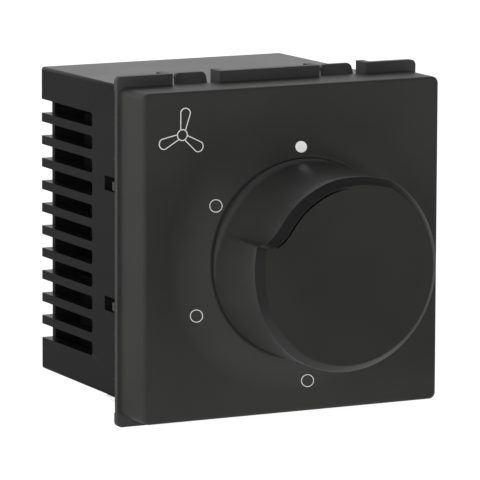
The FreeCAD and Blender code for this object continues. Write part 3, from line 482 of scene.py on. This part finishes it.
# The outer skin is pressed in to the scoop, and the thin groove is sunk along the face's edge.
skin_from = inside + 0.1 * mm
for vertex in knob.data.vertices:
    x, z = vertex.co.x, vertex.co.z - knob_axis_z
    radius = math.hypot(x, z)
    if radius < skin_from:
        continue
    angle = math.degrees(math.atan2(z, x)) % 360.0
    moved = radius + scooped(angle, vertex.co.y)
    t = (angle - groove_start) / (groove_stop - groove_start)
    in_groove = groove_lines[3] + same_plane < radius < groove_lines[0] - same_plane
    if in_groove and 0.0 < t < 1.0:
        vertex.co.y += groove_depth * min(1.0, t * groove_run_in, (1.0 - t) * groove_run_out)
    vertex.co.x = x * moved / radius
    vertex.co.z = knob_axis_z + z * moved / radius
smooth(knob, knob_sharp)

# The face is the mattest of the three finishes. The bevel and the groove get a darker copy of the
# black, which is painted shade for the dark band round the front edge and the shade in the
# groove.
knob_flank = moulded_plastic("knob_flank", (0.0200, 0.0200, 0.0195), 0.34, specular=0.6)
knob_edge_painted_shade = moulded_plastic("knob_edge_painted_shade", (0.0060, 0.0060, 0.0058), 0.28, grain=0.04)
knob_face = moulded_plastic("knob_face", (0.0150, 0.0150, 0.0134), 0.42, specular=0.25)
for material in (knob_flank, knob_edge_painted_shade, knob_face):
    knob.data.materials.append(material)
# Faces of the bevel and of the groove take the darker copy, which paints shade on them.
for face in knob.data.polygons:
    middle = face.center
    off_axis = math.hypot(middle.x, middle.z - knob_axis_z)
    at_front = off_axis >= skin_from and middle.y <= bevel_back + knob_soft
    if face.normal.y < -0.98 and middle.y < knob_front + 0.05 * mm:
        face.material_index = 2
    elif at_front and (face.normal.y < -0.3 or off_axis < groove_outer):
        face.material_index = 1
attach(knob, "control")
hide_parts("knob")


# Camera: it stands to the left of the module, a little above it, with a long lens. Angles,
# distance and lens were fitted to the edges of the cover in the photograph.
camera_azimuth = math.radians(-27.0358)
camera_elevation = math.radians(9.0381)
camera_roll = math.radians(0.2077)
camera_distance = 681.28 * mm
camera_target = Vector((-4.2964 * mm, -2.8 * mm, 0.5564 * mm))
photo_pixels = 480.0
focal_pixels = 4981.03
camera_data = bpy.data.cameras.new("camera")
camera_data.sensor_width = 36.0
camera_data.lens = focal_pixels / photo_pixels * camera_data.sensor_width
camera_data.clip_start = 0.01
camera_data.clip_end = 20.0
camera = bpy.data.objects.new("camera", camera_data)
turn = Matrix.Rotation(camera_azimuth, 3, "Z")
turn = turn @ Matrix.Rotation(math.pi / 2.0 - camera_elevation, 3, "X")
turn = turn @ Matrix.Rotation(camera_roll, 3, "Z")
camera.location = camera_target + turn @ Vector((0.0, 0.0, camera_distance))
camera.rotation_euler = turn.to_euler()
bpy.context.scene.collection.objects.link(camera)
bpy.context.scene.camera = camera


# Floor: a plain pale sheet just under the module, which keeps its shadow. The camera sees it
# nearly white. Glossy rays see it dim, with a painted pool of light close in front of the module
# that only reflections show; all other rays get the light of the sheet itself.
floor_half = 1.5
floor_gap = 0.02 * mm
floor_white = 0.9
floor_bounce = 0.9
floor_seen = 0.9
floor_shine = 0.85
floor_glow = 0.03
painted_glow_near = 0.55
near_centre = (-4.0 * mm, -26.0 * mm, 0.0)
near_reach = 12.0 * mm
far_reach = 44.0 * mm


def soft_step(tree, value, start, stop, low, high):
    """Runs softly from low to high while the value runs from start to stop."""
    step = tree.nodes.new("ShaderNodeMapRange")
    step.interpolation_type = "SMOOTHSTEP"
    step.inputs["From Min"].default_value = start
    step.inputs["From Max"].default_value = stop
    step.inputs["To Min"].default_value = low
    step.inputs["To Max"].default_value = high
    tree.links.new(value, step.inputs["Value"])
    return step.outputs["Result"]


def part_of(tree, ray, share):
    """A share of one kind of ray."""
    part = tree.nodes.new("ShaderNodeMath")
    part.operation = "MULTIPLY"
    part.inputs[1].default_value = share
    tree.links.new(ray, part.inputs[0])
    return part.outputs["Value"]


def mixed(tree, factor, first, second):
    """Two shaders mixed by a factor."""
    mix = tree.nodes.new("ShaderNodeMixShader")
    tree.links.new(factor, mix.inputs["Fac"])
    tree.links.new(first, mix.inputs[1])
    tree.links.new(second, mix.inputs[2])
    return mix.outputs["Shader"]


bpy.ops.object.select_all(action="DESELECT")
bpy.ops.mesh.primitive_plane_add(
    size=2.0 * floor_half, location=(0.0, 0.0, cad_low.z - floor_gap)
)
floor = bpy.context.object
floor.name = "floor"
floor_paint, tree, paint, place = start_material("floor_paint")
paint.inputs["Base Color"].default_value = (floor_white, floor_white, floor_white, 1.0)
paint.inputs["Roughness"].default_value = 0.9
paint.inputs["Specular IOR Level"].default_value = 0.0
paint.inputs["Emission Color"].default_value = (1.0, 1.0, 1.0, 1.0)
paint.inputs["Emission Strength"].default_value = floor_bounce
away = tree.nodes.new("ShaderNodeVectorMath")
away.operation = "DISTANCE"
away.inputs[1].default_value = near_centre
tree.links.new(place, away.inputs[0])
# Painted light: a bright pool close in front of the module that only glossy rays see, fading out.
fade = soft_step(tree, away.outputs["Value"], near_reach, far_reach, painted_glow_near, floor_glow)
painted_glow = tree.nodes.new("ShaderNodeEmission")
tree.links.new(fade, painted_glow.inputs["Strength"])
white = tree.nodes.new("ShaderNodeEmission")
white.inputs["Strength"].default_value = 1.0
rays = tree.nodes.new("ShaderNodeLightPath").outputs
glossy_part = part_of(tree, rays["Is Glossy Ray"], floor_shine)
camera_part = part_of(tree, rays["Is Camera Ray"], floor_seen)
sheet = mixed(tree, glossy_part, paint.outputs["BSDF"], painted_glow.outputs["Emission"])
sheet = mixed(tree, camera_part, sheet, white.outputs["Emission"])
tree.links.new(sheet, tree.nodes["Material Output"].inputs["Surface"])
floor.data.materials.append(floor_paint)


# Studio: an even room that the camera sees as a white backdrop. Glossy rays see it dark in
# front and bright behind the module. Large soft lamps stand on its left, in front, on its
# right and behind it, and don't show in reflections.
room_level = 0.4
front_level = 0.2
back_level = 1.05
back_from = 0.1
back_full = 0.8
world = bpy.data.worlds.new("studio")
bpy.context.scene.world = world
world.use_nodes = True
tree = world.node_tree
room = tree.nodes["Background"]
room.inputs["Color"].default_value = (1.0, 1.0, 1.0, 1.0)
room.inputs["Strength"].default_value = room_level
way = tree.nodes.new("ShaderNodeTexCoord")
parts = tree.nodes.new("ShaderNodeSeparateXYZ")
tree.links.new(way.outputs["Generated"], parts.inputs["Vector"])
level = soft_step(tree, parts.outputs["Y"], back_from, back_full, front_level, back_level)
shine = tree.nodes.new("ShaderNodeBackground")
tree.links.new(level, shine.inputs["Strength"])
backdrop = tree.nodes.new("ShaderNodeBackground")
backdrop.inputs["Strength"].default_value = 1.0
rays = tree.nodes.new("ShaderNodeLightPath").outputs
hall = mixed(tree, rays["Is Glossy Ray"], room.outputs["Background"], shine.outputs["Background"])
hall = mixed(tree, rays["Is Camera Ray"], hall, backdrop.outputs["Background"])
tree.links.new(hall, tree.nodes["World Output"].inputs["Surface"])

softbox_size = 0.6
softbox_target = Vector((0.0, -0.012, 0.0))
softboxes = (
    ("left_softbox", (-0.75, -0.05, 0.12), 3.7),
    ("front_left_softbox", (-0.60, -0.50, 0.12), 3.8),
    ("right_softbox", (0.70, -0.30, 0.15), 4.4),
    ("back_softbox", (0.35, 0.75, 0.20), 9.0),
)
for name, spot, watts in softboxes:
    lamp_data = bpy.data.lights.new(name, "AREA")
    lamp_data.shape = "DISK"
    lamp_data.size = softbox_size
    lamp_data.energy = watts
    lamp = bpy.data.objects.new(name, lamp_data)
    lamp.location = spot
    lamp.rotation_euler = (Vector(spot) - softbox_target).to_track_quat("Z", "Y").to_euler()
    lamp.visible_glossy = False
    bpy.context.scene.collection.objects.link(lamp)

bpy.context.scene.view_settings.view_transform = "Standard"
